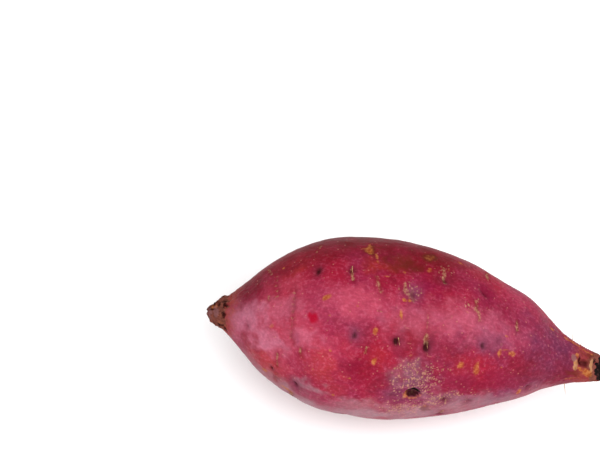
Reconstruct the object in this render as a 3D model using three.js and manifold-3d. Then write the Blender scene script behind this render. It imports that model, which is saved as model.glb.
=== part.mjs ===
// A whole sweet potato: a plump root, widest a little before its middle, that narrows to a woody crown stub
// at one end and to a thin, snapped tail root at the other. It lies on its side on a small flat spot.
//
// Millimetres, +Z up. +X runs from the crown to the tail. The origin is on the surface that the root rests on,
// under the middle of its box. Places on the skin are given by how far along the body they are, from 0 at the
// crown neck to 1 at the tail neck, and by the turn around it: 0 degrees faces -Y, 90 faces up, 180 faces +Y.

import * as THREE from "three";
import { mergeVertices } from "three/addons/utils/BufferGeometryUtils.js";
import Module from "manifold-3d";

// Lengths of the three stretches of the root.
const CROWN_LENGTH = 8;
const BODY_LENGTH = 142;
const TAIL_LENGTH = 20;

// Widths across the root, from the crown to the tail.
const CROWN_TIP_WIDTH = 7;
const CROWN_NECK_WIDTH = 14.5;
const BODY_WIDTH = 74.2;
const TAIL_NECK_WIDTH = 18.4;
const TAIL_TIP_WIDTH = 9;

// The body is a little lower than it is wide, and it has shallow lobes that run along it.
const BODY_HEIGHT = 71.6;
const LOBE_HEIGHT = 0.55;
const LOBES_AROUND = 5;
const LOBE_TWIST = 1.1;
const SWAY_HEIGHT = 0.45;
const SWAYS_ALONG = 2.5;
const SWAYS_AROUND = 2;

// The middle of the root bows to the side, by BOW where it bows most, and sinks from the crown to the tail.
const BOW = 5.6;
const TAIL_SINK = 13;

// The share of the body's length over which its own form fades in at each of its ends.
const FADE_SHARE = 0.2;

// The flat spot that the root rests on: how much skin it takes off, and the block that cuts it.
const REST_CUT = 1;
const CUTTER_MARGIN = 20;

// How finely the skin is faceted.
const FACETS_AROUND = 72;
const FACETS_ALONG = 56;

// Round edges of the two broken ends, and how steeply the sides of knobs and dents fall away.
const CROWN_EDGE = 2.2;
const TAIL_EDGE = 1.2;
const MOUND_STEEPNESS = 4;

// Vertices closer together than this are one.
const WELD = 0.001;

// How far the body has swelled, from 0 at its necks to 1 at its widest, at places along it.
const SWELL = [
  [0, 0],
  [0.045, 0.19],
  [0.1, 0.45],
  [0.16, 0.67],
  [0.22, 0.845],
  [0.3, 0.975],
  [0.4, 1],
  [0.5, 0.975],
  [0.6, 0.91],
  [0.7, 0.79],
  [0.8, 0.59],
  [0.88, 0.385],
  [0.94, 0.165],
  [1, 0],
];

// The line of the side bow, as a share of BOW, at places along the whole root.
const BOW_LINE = [
  [0, -0.15],
  [0.05, -0.05],
  [0.13, 0.16],
  [0.25, 0.46],
  [0.4, 0.68],
  [0.55, 0.9],
  [0.68, 1],
  [0.78, 0.92],
  [0.87, 0.46],
  [0.94, 0.25],
  [1, 0.12],
];

// Knobs on the crown stub, each by its distance from the tip, its turn, its spread and its height.
const KNOBS = [
  { from: 4.5, turn: 100, spread: 5, height: 2.5 },
  { from: 4, turn: 15, spread: 5, height: 0.7 },
  { from: 5, turn: -75, spread: 5.5, height: 0.8 },
  { from: 3.5, turn: 190, spread: 5, height: 0.9 },
];

// Dents in the skin, each by its place along and around, its length along, its width around and its depth.
const DENTS = [
  { along: 0.56, turn: 19, length: 5.5, width: 4.2, depth: 2.2 }, // the wound
  { along: 0.58, turn: 56, length: 5, width: 5, depth: 0.9 }, // eyes
  { along: 0.5, turn: 58, length: 4.5, width: 4.5, depth: 0.8 },
  { along: 0.525, turn: 90, length: 5, width: 5, depth: 0.9 },
  { along: 0.35, turn: 100, length: 4, width: 7, depth: 0.7 },
  { along: 0.26, turn: 101, length: 4.5, width: 4.5, depth: 0.7 },
  { along: 0.73, turn: 107, length: 5, width: 5, depth: 0.9 },
  { along: 0.735, turn: 61, length: 5, width: 4.5, depth: 0.8 },
  { along: 0.61, turn: 108, length: 4, width: 6, depth: 0.7 },
  { along: 0.38, turn: 59, length: 4.5, width: 4.5, depth: 0.7 },
  { along: 0.5, turn: 16, length: 4.5, width: 4, depth: 0.7 },
  { along: 0.65, turn: 11, length: 4.5, width: 4, depth: 0.7 },
  { along: 0.715, turn: 7, length: 4.5, width: 4, depth: 0.6 },
  { along: 0.2, turn: 50, length: 4, width: 9, depth: 0.8 }, // creases across the root
  { along: 0.225, turn: 10, length: 5, width: 5, depth: 0.8 },
  { along: 0.4, turn: 172, length: 6, width: 6, depth: 1 },
  { along: 0.62, turn: 205, length: 5, width: 7, depth: 1 },
  { along: 0.3, turn: 228, length: 6, width: 5, depth: 0.9 },
  { along: 0.14, turn: 150, length: 5, width: 8, depth: 1 },
  { along: 0.8, turn: 160, length: 5, width: 7, depth: 0.9 },
  { along: 0.72, turn: -60, length: 6, width: 5, depth: 0.8 },
  { along: 0.2, turn: -50, length: 5, width: 8, depth: 0.9 },
];

const LENGTH = CROWN_LENGTH + BODY_LENGTH + TAIL_LENGTH;

// The outline from the crown tip to the tail tip, as [distance along, radius].
function outline() {
  const crownRadius = CROWN_NECK_WIDTH / 2;
  const tailRadius = TAIL_NECK_WIDTH / 2;
  const body = SWELL.map(([share, swell]) => {
    const neck = THREE.MathUtils.lerp(crownRadius, tailRadius, share);
    const radius = THREE.MathUtils.lerp(neck, BODY_WIDTH / 2, swell);
    return [CROWN_LENGTH + share * BODY_LENGTH, radius];
  });
  const crown = [
    [0, 0],
    [0, CROWN_TIP_WIDTH / 2 - CROWN_EDGE],
    [CROWN_EDGE, CROWN_TIP_WIDTH / 2],
  ];
  const tipRadius = TAIL_TIP_WIDTH / 2 - TAIL_EDGE;
  const tail = [
    [LENGTH - TAIL_LENGTH / 2, (tailRadius + tipRadius) / 2],
    [LENGTH - TAIL_EDGE, TAIL_TIP_WIDTH / 2],
    [LENGTH, tipRadius],
    [LENGTH, 0],
  ];
  return [...crown, ...body, ...tail].map(([along, radius]) => new THREE.Vector2(radius, along));
}

// How strongly the body's own form shows at a distance along: 0 at both ends, 1 over most of the body.
function bodyShare(along) {
  const fade = FADE_SHARE * BODY_LENGTH;
  const end = LENGTH - TAIL_LENGTH;
  const fromCrown = THREE.MathUtils.smoothstep(along, CROWN_LENGTH, CROWN_LENGTH + fade);
  const toTail = THREE.MathUtils.smoothstep(along, end - fade, end);
  return fromCrown * (1 - toTail);
}

// The height of the lobes and of the slow rise and fall along the body.
function unevenness(along, turn) {
  const share = along / LENGTH;
  const lobes = LOBE_HEIGHT * Math.cos(LOBES_AROUND * turn + LOBE_TWIST * Math.sin(Math.PI * share));
  const sway = SWAY_HEIGHT * Math.cos(2 * Math.PI * SWAYS_ALONG * share + SWAYS_AROUND * turn);
  return (lobes + sway) * bodyShare(along);
}

// A smooth mound, 1 at its centre and nearly 0 a spread away: lengthwise is the distance from the centre along
// the root, and the two turns and the radius give the distance around it.
function mound(lengthwise, length, turn, centreTurn, radius, width) {
  const gap = turn - THREE.MathUtils.degToRad(centreTurn);
  const across = Math.atan2(Math.sin(gap), Math.cos(gap)) * radius;
  const off = Math.hypot(lengthwise / length, across / width);
  return Math.exp(-MOUND_STEEPNESS * off * off);
}

// How far the knobs stand out and the dents sink in at a place on the skin.
function marks(along, turn, radius) {
  const knobs = KNOBS.reduce((height, { from, turn: centre, spread, height: top }) => {
    return height + top * mound(along - from, spread, turn, centre, radius, spread);
  }, 0);
  const dents = DENTS.reduce((depth, dent) => {
    const lengthwise = along - CROWN_LENGTH - dent.along * BODY_LENGTH;
    return depth + dent.depth * mound(lengthwise, dent.length, turn, dent.turn, radius, dent.width);
  }, 0);
  return knobs - dents;
}

// The height of a smooth line through [place, height] points, at one place.
function lineAt(points, place) {
  const next = Math.max(1, points.findIndex(([end]) => end >= place));
  const [before, start, end, after] = [next - 2, next - 1, next, next + 1].map(
    (i) => points[THREE.MathUtils.clamp(i, 0, points.length - 1)],
  );
  const width = end[0] - start[0];
  const t = (place - start[0]) / width;
  const slopeIn = ((end[1] - before[1]) / (end[0] - before[0])) * width;
  const slopeOut = ((after[1] - start[1]) / (after[0] - start[0])) * width;
  return (
    start[1] * (2 * t ** 3 - 3 * t ** 2 + 1) +
    slopeIn * (t ** 3 - 2 * t ** 2 + t) +
    end[1] * (3 * t ** 2 - 2 * t ** 3) +
    slopeOut * (t ** 3 - t ** 2)
  );
}

// The skin: the outline turned round its axis, then laid along X, made uneven and bent.
function skinGeometry() {
  const profile = new THREE.SplineCurve(outline()).getSpacedPoints(FACETS_ALONG);
  profile[0].x = 0;
  profile[FACETS_ALONG].x = 0;
  const skin = new THREE.LatheGeometry(profile, FACETS_AROUND);
  const position = skin.getAttribute("position");
  const flattening = BODY_HEIGHT / BODY_WIDTH;
  for (let i = 0; i < position.count; i++) {
    const along = position.getY(i);
    const radius = Math.hypot(position.getX(i), position.getZ(i));
    const turn = Math.atan2(position.getX(i), -position.getZ(i));
    const reach = radius > 0 ? radius + unevenness(along, turn) + marks(along, turn, radius) : 0;
    const height = reach * Math.sin(turn) * THREE.MathUtils.lerp(1, flattening, bodyShare(along));
    position.setXYZ(
      i,
      along - LENGTH / 2,
      BOW * lineAt(BOW_LINE, along / LENGTH) - reach * Math.cos(turn),
      height + TAIL_SINK * (0.5 - along / LENGTH),
    );
  }
  return skin;
}

// The same geometry with one vertex at each place and no triangle that has shrunk to a line.
function closedGeometry(geometry) {
  const bare = new THREE.BufferGeometry();
  bare.setAttribute("position", geometry.getAttribute("position"));
  bare.setIndex(geometry.getIndex());
  const merged = mergeVertices(bare, WELD);
  const kept = [];
  const index = merged.getIndex().array;
  for (let i = 0; i < index.length; i += 3) {
    const [a, b, c] = index.subarray(i, i + 3);
    if (a !== b && b !== c && c !== a) kept.push(a, b, c);
  }
  return merged.setIndex(kept);
}

const wasm = await Module();
wasm.setup();

function toSolid(geometry) {
  const closed = closedGeometry(geometry);
  const mesh = new wasm.Mesh({
    numProp: 3,
    vertProperties: Float32Array.from(closed.getAttribute("position").array),
    triVerts: Uint32Array.from(closed.getIndex().array),
  });
  return new wasm.Manifold(mesh);
}

function toGeometry(solid) {
  const mesh = solid.getMesh();
  const geometry = new THREE.BufferGeometry();
  geometry.setAttribute("position", new THREE.BufferAttribute(mesh.vertProperties, mesh.numProp));
  geometry.setIndex(new THREE.BufferAttribute(mesh.triVerts, 1));
  geometry.computeVertexNormals();
  return geometry;
}

// The root with its rest spot cut flat, moved so that the origin is under the middle of its box.
function rootGeometry() {
  const skin = skinGeometry();
  skin.computeBoundingBox();
  const restHeight = skin.boundingBox.min.z + REST_CUT;
  const side = LENGTH + 2 * CUTTER_MARGIN;
  const cutter = new THREE.BoxGeometry(side, side, side).translate(0, 0, restHeight - side / 2);
  const root = toGeometry(toSolid(skin).subtract(toSolid(cutter)));
  root.computeBoundingBox();
  const middle = root.boundingBox.getCenter(new THREE.Vector3());
  return root.translate(-middle.x, -middle.y, -restHeight);
}

const sweetPotato = new THREE.Mesh(
  rootGeometry(),
  new THREE.MeshStandardMaterial({ color: 0xb03a54, roughness: 0.55, metalness: 0 }),
);
sweetPotato.name = "sweet_potato";

const part = new THREE.Group();
part.name = "sweet_potato_part";
part.add(sweetPotato);

export default part;
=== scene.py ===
"""A whole sweet potato, lying on a pale floor under soft studio light.

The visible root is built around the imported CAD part. A round blank is drawn out ring by ring from the crown to
the tail, made fine, laid on the root's own form and then marked: lobes, eyes, scars, scurf, a wound, the woody
crown and the torn tail are all raised or sunk in the mesh. The same marks are kept as attributes of the mesh, and
the skin's finish reads them for its colour, gloss and finest relief.

Lengths in the classes are millimetres, and turns are degrees, because that is how a root is measured. A place on
the skin is `along`, its distance from the crown tip, and `turn`, its angle around the root: 0 faces -Y, 90 faces
up and 180 faces +Y.
"""

from __future__ import annotations

import logging
import math
import random
from dataclasses import dataclass, field
from enum import Enum
from functools import cached_property
from typing import Protocol

import bpy
import numpy as np
from mathutils import Matrix, Vector, noise


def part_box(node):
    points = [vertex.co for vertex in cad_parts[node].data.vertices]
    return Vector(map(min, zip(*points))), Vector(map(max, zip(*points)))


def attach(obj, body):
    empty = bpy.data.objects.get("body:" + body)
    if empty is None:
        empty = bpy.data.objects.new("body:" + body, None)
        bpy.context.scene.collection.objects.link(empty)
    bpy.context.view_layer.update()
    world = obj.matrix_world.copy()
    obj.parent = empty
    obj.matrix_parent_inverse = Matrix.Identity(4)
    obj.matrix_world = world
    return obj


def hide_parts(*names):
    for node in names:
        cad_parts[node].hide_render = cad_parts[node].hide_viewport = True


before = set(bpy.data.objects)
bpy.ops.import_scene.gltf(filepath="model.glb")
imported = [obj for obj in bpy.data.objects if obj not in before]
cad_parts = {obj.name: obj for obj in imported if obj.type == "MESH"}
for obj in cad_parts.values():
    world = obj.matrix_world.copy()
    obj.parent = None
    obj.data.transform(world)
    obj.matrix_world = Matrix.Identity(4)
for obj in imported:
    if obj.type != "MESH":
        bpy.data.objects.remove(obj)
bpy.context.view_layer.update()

MM = 0.001
NODE = "sweet_potato"
BODY = "root"

Array = np.ndarray
Piece = bpy.types.Object
Socket = bpy.types.NodeSocket
Colour = tuple[float, float, float, float]
Points = tuple[tuple[float, float], ...]
Rows = tuple[tuple[float, ...], ...]

log = logging.getLogger("sweet_potato")


def colour(red: int, green: int, blue: int) -> Colour:
    """Turns a colour as a screen shows it into the linear one that shaders use.

    Args:
        red: Red, from 0 to 255.
        green: Green, from 0 to 255.
        blue: Blue, from 0 to 255.

    Returns:
        Linear red, green, blue and an alpha of 1.
    """
    linear = [((c / 255 + 0.055) / 1.055) ** 2.4 if c > 10 else c / 255 / 12.92 for c in (red, green, blue)]
    return (linear[0], linear[1], linear[2], 1.0)


def read(items: bpy.types.bpy_prop_collection, name: str, width: int, kind: type = np.float32) -> Array:
    """Reads one property of a mesh's items into rows.

    Args:
        items: The mesh's vertices, corners or other items.
        name: The property.
        width: How many values each item has.
        kind: The values' type.

    Returns:
        A row for each item, or a plain list where each has one value.
    """
    values = np.empty(len(items) * width, kind)
    items.foreach_get(name, values)
    return values.reshape(-1, width) if width > 1 else values


def write(mesh: bpy.types.Mesh, places: Array) -> None:
    """Moves a mesh's vertices to places in metres."""
    mesh.vertices.foreach_set("co", places.astype(np.float32).ravel())
    mesh.update()


def smoothstep(value: Array, low: float, high: float) -> Array:
    """Eases from 0 at or below low to 1 at or above high."""
    share = np.clip((value - low) / (high - low), 0.0, 1.0)
    return share * share * (3 - 2 * share)


def mound(off: Array, steepness: float = 4.0) -> Array:
    """A smooth hump: 1 where off is 0 and nearly 0 where it is 1."""
    return np.exp(-steepness * off * off)


def band(off: Array, centre: float, spread: float) -> Array:
    """A smooth ridge: 1 where off is at the centre, falling away on both sides of it."""
    return np.exp(-(((off - centre) / spread) ** 2))


def grain(points: Array, size: float, octaves: int = 3, seed: float = 0.0) -> Array:
    """Samples a soft random field at each point.

    Args:
        points: Places in millimetres, one row each.
        size: The size of the largest lumps in millimetres.
        octaves: How many finer layers it has.
        seed: Moves the field, so that two samples differ.

    Returns:
        One value for each point, about -1 to 1.
    """
    rows = (points / size + seed).tolist()
    return np.array([noise.fractal(row, 0.9, 2.0, octaves) for row in rows]) * 1.6


def smooth_line(points: Points, places: Array) -> Array:
    """Reads a smooth line through [place, height] points.

    Args:
        points: The points, in order of place.
        places: Where to read the line.

    Returns:
        The line's height at each place.
    """
    x, y = np.array(points).T
    ends = np.clip(np.arange(len(x))[:, None] + np.array([-1, 1]), 0, len(x) - 1)
    slopes = (y[ends[:, 1]] - y[ends[:, 0]]) / (x[ends[:, 1]] - x[ends[:, 0]])
    i = np.clip(np.searchsorted(x, places) - 1, 0, len(x) - 2)
    width = x[i + 1] - x[i]
    t = (places - x[i]) / width
    start = y[i] * (2 * t**3 - 3 * t**2 + 1) + slopes[i] * width * (t**3 - 2 * t**2 + t)
    return start + y[i + 1] * (3 * t**2 - 2 * t**3) + slopes[i + 1] * width * (t**3 - t**2)


@dataclass(frozen=True)
class RootForm:
    """The root's own form, as the CAD part has it: its outline, section and bend."""

    crown_length: float = 8.0
    body_length: float = 142.0
    tail_length: float = 20.0
    crown_tip_width: float = 7.0
    crown_neck_width: float = 14.5
    body_width: float = 74.2
    body_height: float = 71.6
    tail_neck_width: float = 18.4
    tail_tip_width: float = 9.0
    crown_edge: float = 2.2
    tail_edge: float = 1.2
    lobe_height: float = 0.55
    lobes_around: int = 5
    lobe_twist: float = 1.1
    sway_height: float = 0.45
    sways_along: float = 2.5
    sways_around: float = 2.0
    bow: float = 5.6
    tail_sink: float = 13.0
    fade_share: float = 0.2
    swell: Points = (
        (0, 0), (0.045, 0.19), (0.1, 0.45), (0.16, 0.67), (0.22, 0.845), (0.3, 0.975), (0.4, 1), (0.5, 0.975),
        (0.6, 0.91), (0.7, 0.79), (0.8, 0.59), (0.88, 0.385), (0.94, 0.165), (1, 0),
    )
    bow_line: Points = (
        (0, -0.15), (0.05, -0.05), (0.13, 0.16), (0.25, 0.46), (0.4, 0.68), (0.55, 0.9), (0.68, 1),
        (0.78, 0.92), (0.87, 0.46), (0.94, 0.25), (1, 0.12),
    )
    profile_samples: int = 4000

    @property
    def length(self) -> float:
        """The whole root's length."""
        return self.crown_length + self.body_length + self.tail_length

    def outline(self) -> Array:
        """The points that the outline runs through, as rows of distance along and radius.

        Returns:
            The rows, from the crown's pole to the tail's.
        """
        necks = self.crown_neck_width / 2, self.tail_neck_width / 2
        tip, end, half = self.crown_tip_width / 2, self.tail_tip_width / 2, self.body_width / 2
        rows = [(0.0, 0.0), (0.0, tip - self.crown_edge), (self.crown_edge, tip)]
        for share, swell in self.swell:
            neck = necks[0] + (necks[1] - necks[0]) * share
            rows.append((self.crown_length + share * self.body_length, neck + (half - neck) * swell))
        rows += [
            (self.length - self.tail_length / 2, (necks[1] + end - self.tail_edge) / 2),
            (self.length - self.tail_edge, end),
            (self.length, end - self.tail_edge),
            (self.length, 0.0),
        ]
        return np.array(rows)

    @cached_property
    def profile(self) -> tuple[Array, Array, Array]:
        """The outline as a fine smooth curve: its stations from 0 to 1, distances along and radii.

        Returns:
            The stations, the distances along and the radii.
        """
        rows = self.outline()
        last = len(rows) - 1
        place = np.linspace(0, last, self.profile_samples)
        i = np.minimum(place.astype(int), last - 1)
        t = (place - i)[:, None]
        before, start, end, after = (rows[np.clip(i + k, 0, last)] for k in (-1, 0, 1, 2))
        in_slope, out_slope = (end - before) / 2, (after - start) / 2
        curve = (
            (2 * start - 2 * end + in_slope + out_slope) * t**3
            + (-3 * start + 3 * end - 2 * in_slope - out_slope) * t**2
            + in_slope * t
            + start
        )
        run = np.concatenate([[0.0], np.cumsum(np.linalg.norm(np.diff(curve, axis=0), axis=1))])
        return run / run[-1], curve[:, 0], np.maximum(curve[:, 1], 0.0)

    def at(self, station: Array) -> tuple[Array, Array]:
        """The distance along and the radius at stations from the crown's pole, 0, to the tail's, 1."""
        stations, along, radius = self.profile
        return np.interp(station, stations, along), np.interp(station, stations, radius)

    def station_of(self, along: float) -> float:
        """The station of a ring that lies a distance along the root."""
        stations, places, _ = self.profile
        return float(np.interp(along, np.maximum.accumulate(places), stations))

    def body_share(self, along: Array) -> Array:
        """How much of the body's own form shows: 0 at both ends and 1 over most of the length."""
        start, end, fade = self.crown_length, self.length - self.tail_length, self.fade_share * self.body_length
        return smoothstep(along, start, start + fade) * (1 - smoothstep(along, end - fade, end))

    def unevenness(self, along: Array, turn: Array) -> Array:
        """The height of the lobes and of the slow rise and fall along the body.

        Args:
            along: Distances from the crown tip.
            turn: Turns in radians.

        Returns:
            A height for each place, in millimetres.
        """
        share = along / self.length
        lobes = np.cos(self.lobes_around * turn + self.lobe_twist * np.sin(math.pi * share))
        sway = np.cos(2 * math.pi * self.sways_along * share + self.sways_around * turn)
        return (self.lobe_height * lobes + self.sway_height * sway) * self.body_share(along)

    def loose_points(self, along: Array, turn: Array, radius: Array) -> Array:
        """Lays places on the root's skin in space, before the root is set down on the floor.

        Args:
            along: Distances from the crown tip.
            turn: Turns in radians.
            radius: Distances from the root's middle line.

        Returns:
            One row of x, y and z in millimetres for each place.
        """
        flattening = 1 + (self.body_height / self.body_width - 1) * self.body_share(along)
        share = along / self.length
        y = self.bow * smooth_line(self.bow_line, share) - radius * np.cos(turn)
        z = radius * np.sin(turn) * flattening + self.tail_sink * (0.5 - share)
        return np.stack([along, y, z], axis=1)

    @cached_property
    def set_down(self) -> Array:
        """The move that brings the form into the CAD part's box: its crown, its top and its middle across.

        Returns:
            How far it goes along x, y and z, in millimetres.
        """
        low, high = (np.array(corner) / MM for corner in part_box(NODE))
        station, turn = np.meshgrid(np.linspace(0, 1, 400), np.radians(np.arange(0, 360, 2)))
        along, radius = self.at(station.ravel())
        radius = radius + self.unevenness(along, turn.ravel())
        points = self.loose_points(along, turn.ravel(), radius)
        least, most = points.min(axis=0), points.max(axis=0)
        return np.array([low[0] - least[0], (low[1] + high[1] - least[1] - most[1]) / 2, high[2] - most[2]])

    def points(self, along: Array, turn: Array, radius: Array) -> Array:
        """Lays places on the root's skin in the part's own frame.

        Args:
            along: Distances from the crown tip.
            turn: Turns in radians.
            radius: Distances from the root's middle line.

        Returns:
            One row of x, y and z in millimetres for each place.
        """
        return self.loose_points(along, turn, radius) + self.set_down


class Layer(Enum):
    """What a mark leaves on the skin. Each one is an attribute of the mesh that the finish reads."""

    # Pale bloom, partly painted sheen where broad highlights lie.
    BLOOM = "bloom_and_sheen"
    ROSE = "rose"
    WARM = "warm"
    # Deeper red, partly painted shade: along the top, beside scars, in folds and in eye dimples.
    DEEP_AND_SHADE = "deep_and_shade"
    VIVID = "vivid"
    PLUM = "plum"
    # Pale dust, partly painted reflection of the white floor along the lower edge.
    DUST_AND_REFLECTION = "dust_and_reflection"
    HALO = "halo"
    SCURF = "scurf"
    RUST = "rust"
    BARK = "bark"
    CHAR = "char"
    FLESH = "flesh"
    BRUISE = "bruise"
    OLIVE = "olive"
    OCHRE = "ochre"
    MAUVE = "mauve"
    SCAR = "scar"
    PIT = "pit"


@dataclass
class Chart:
    """Every vertex of the skin as a place on the root, with what has been done to it so far."""

    along: Array
    turn: Array
    radius: Array
    points: Array
    height: Array = field(init=False)
    layers: dict[Layer, Array] = field(init=False)
    wobble: tuple[Array, Array] = field(init=False)

    def __post_init__(self) -> None:
        """Starts with an unmarked skin, and samples the wobble that keeps marks from looking drawn."""
        self.height = np.zeros(len(self.along))
        self.layers = {layer: np.zeros(len(self.along)) for layer in Layer}
        self.wobble = grain(self.points, 5.0, 3, 11.3), grain(self.points, 5.0, 3, 47.9)

    def offset(self, along: float, turn: float, wobble: float = 0.0) -> tuple[Array, Array]:
        """How far each vertex lies from a place, along the root and around it.

        Args:
            along: The place's distance from the crown tip.
            turn: The place's turn in degrees.
            wobble: How far the random wobble moves each vertex, in millimetres.

        Returns:
            The distances along and around, in millimetres.
        """
        gap = self.turn - math.radians(turn)
        around = np.arctan2(np.sin(gap), np.cos(gap)) * np.maximum(self.radius, 1.0)
        return self.along - along + wobble * self.wobble[0], around + wobble * self.wobble[1]

    def oval(
        self, along: float, turn: float, length: float, width: float, lean: float = 0.0, wobble: float = 0.0
    ) -> Array:
        """How far each vertex is from an oval's centre, as a share of the way to its edge.

        Args:
            along: The centre's distance from the crown tip.
            turn: The centre's turn in degrees.
            length: Half of the oval's length along the root.
            width: Half of its width around the root.
            lean: How far the oval is turned from the root's length, in degrees.
            wobble: How uneven its edge is, in millimetres.

        Returns:
            0 at the centre, 1 on the edge and more outside.
        """
        lengthwise, around = self.offset(along, turn, wobble)
        tilt = math.radians(lean)
        p = lengthwise * math.cos(tilt) + around * math.sin(tilt)
        q = around * math.cos(tilt) - lengthwise * math.sin(tilt)
        return np.hypot(p / length, q / width)

    def paint(self, layer: Layer, value: Array) -> None:
        """Lays a mark on a layer wherever it is stronger than what is already there."""
        self.layers[layer] = np.maximum(self.layers[layer], value)


class Mark(Protocol):
    """Anything that can be cut into or laid on the skin."""

    def lay(self, chart: Chart) -> None:
        """Changes the chart's height and layers."""


@dataclass(frozen=True)
class Zone:
    """A broad soft area of another colour."""

    layer: Layer
    along: float
    turn: float
    length: float
    width: float
    strength: float = 1.0

    def lay(self, chart: Chart) -> None:
        """Lays the zone's colour."""
        off = chart.oval(self.along, self.turn, self.length, self.width, wobble=3.0)
        chart.paint(self.layer, self.strength * (1 - smoothstep(off, 0.2, 1.35)))


@dataclass(frozen=True)
class Patch:
    """A small area with a clear ragged edge, where the outer skin has rubbed off or dried; a few of them are
    painted shade on the root's top and in the tail's hollow.
    """

    layer: Layer
    along: float
    turn: float
    length: float
    width: float
    strength: float = 1.0
    ragged: float = 0.5
    lean: float = 0.0
    depth: float = 0.06

    def lay(self, chart: Chart) -> None:
        """Lays the patch's colour, and sinks it a little below the skin.

        Args:
            chart: The skin.
        """
        off = chart.oval(self.along, self.turn, self.length / 2, self.width / 2, self.lean, self.ragged)
        value = self.strength * np.clip(1.5 - off, 0.0, 1.0)
        chart.paint(self.layer, value)
        chart.height -= self.depth * smoothstep(value, 0.2, 0.8)


@dataclass(frozen=True)
class Scar:
    """A thin corky line around part of the root, where a side root or a crack has healed."""

    along: float
    low: float
    high: float
    lean: float = 0.0
    width: float = 0.8
    strength: float = 1.0
    dark: float = 0.0
    dotted: bool = False
    dot_spacing: float = 2.6

    def lay(self, chart: Chart) -> None:
        """Cuts the line in, raises its lips and lays its colours, with painted shade beside the line.

        Args:
            chart: The skin.
        """
        middle = (self.low + self.high) / 2
        lengthwise, around = chart.offset(self.along, middle, wobble=0.35)
        half = math.radians(self.high - self.low) / 2 * np.maximum(chart.radius, 1.0)
        share = np.clip(around / np.maximum(half, 0.1), -1.0, 1.0)
        gap = np.hypot(lengthwise - self.lean / 2 * share, around - half * share)
        near = np.clip(1 - gap / (2 * self.width), 0.0, 1.0)
        if self.dotted:
            near = near * (0.62 + 0.38 * np.cos(around * 2 * math.pi / self.dot_spacing + 1.3 * chart.wobble[0]))
        chart.paint(Layer.SCAR, self.strength * near)
        chart.paint(Layer.PIT, self.dark * near)
        # Painted shade: a darker band along both sides of the line.
        chart.paint(Layer.DEEP_AND_SHADE, 0.55 * self.strength * mound(gap / (3.2 * self.width), 2.0))
        chart.height += 0.1 * self.strength * band(gap, self.width, 0.45 * self.width)
        chart.height -= (0.1 + 0.3 * self.dark) * mound(gap / (1.3 * self.width))


@dataclass(frozen=True)
class Eye:
    """A shallow dimple where a fine root grew, often with a dark pit in it, painted shade across the dimple and a
    pale mauve surround.
    """

    along: float
    turn: float
    size: float = 5.0
    depth: float = 0.7
    dark: float = 0.8
    halo: float = 0.5
    brow: float = 0.15

    def lay(self, chart: Chart) -> None:
        """Sinks the dimple and its pit, raises a brow over it and lays its colours, with painted shade across the
        dimple.

        Args:
            chart: The skin.
        """
        half = self.size / 2
        dimple = chart.oval(self.along, self.turn, 1.05 * half, 1.25 * half, wobble=0.5)
        pit = chart.oval(self.along, self.turn - 0.6, 0.5 * half, 0.72 * half, wobble=0.55)
        chart.height -= self.depth * mound(dimple, 2.2)
        chart.height -= (0.2 + 0.5 * self.dark) * mound(pit, 1.6)
        lengthwise, around = chart.offset(self.along, self.turn)
        chart.height += self.brow * band(around, 0.75 * half, 0.3 * half) * mound(lengthwise / half)
        # The pit is dark in itself; the darkening across the whole dimple, here and in the deeper red below, is
        # painted shade.
        pit_and_dimple_shade = np.maximum(np.clip(1.3 - 0.8 * pit, 0.0, 1.0), 0.62 * mound(dimple, 1.3))
        chart.paint(Layer.PIT, self.dark * pit_and_dimple_shade)
        chart.paint(Layer.DEEP_AND_SHADE, min(1.0, 0.4 + self.dark) * mound(dimple, 0.9))
        chart.paint(Layer.HALO, self.halo * mound(dimple / 1.9, 2.0))


@dataclass(frozen=True)
class Crease:
    """A soft fold around part of the root, with no broken skin."""

    along: float
    low: float
    high: float
    width: float = 2.2
    depth: float = 0.5

    def lay(self, chart: Chart) -> None:
        """Presses the fold in, and darkens it a little with painted shade.

        Args:
            chart: The skin.
        """
        middle, half = (self.low + self.high) / 2, (self.high - self.low) / 2
        lengthwise, around = chart.offset(self.along, middle, wobble=0.8)
        reach = mound(around / (math.radians(half) * np.maximum(chart.radius, 1.0)), 1.0)
        fold = mound(lengthwise / self.width, 3.0) * reach**2
        chart.height -= self.depth * fold
        chart.height += 0.35 * self.depth * mound((lengthwise - 1.5 * self.width) / self.width) * reach**4
        # Painted shade in the fold.
        chart.paint(Layer.DEEP_AND_SHADE, 0.5 * fold)
        chart.paint(Layer.HALO, 0.5 * mound((lengthwise - 1.3 * self.width) / self.width) * reach**4)


@dataclass(frozen=True)
class Scurf:
    """An area where the skin has broken into pale corky flecks."""

    along: float
    turn: float
    length: float
    width: float
    strength: float = 1.0

    def lay(self, chart: Chart) -> None:
        """Roughens the skin and lays the flecks' colour."""
        off = chart.oval(self.along, self.turn, self.length / 2, self.width / 2, wobble=2.2)
        chart.paint(Layer.SCURF, self.strength * mound(off, 1.8))


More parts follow.
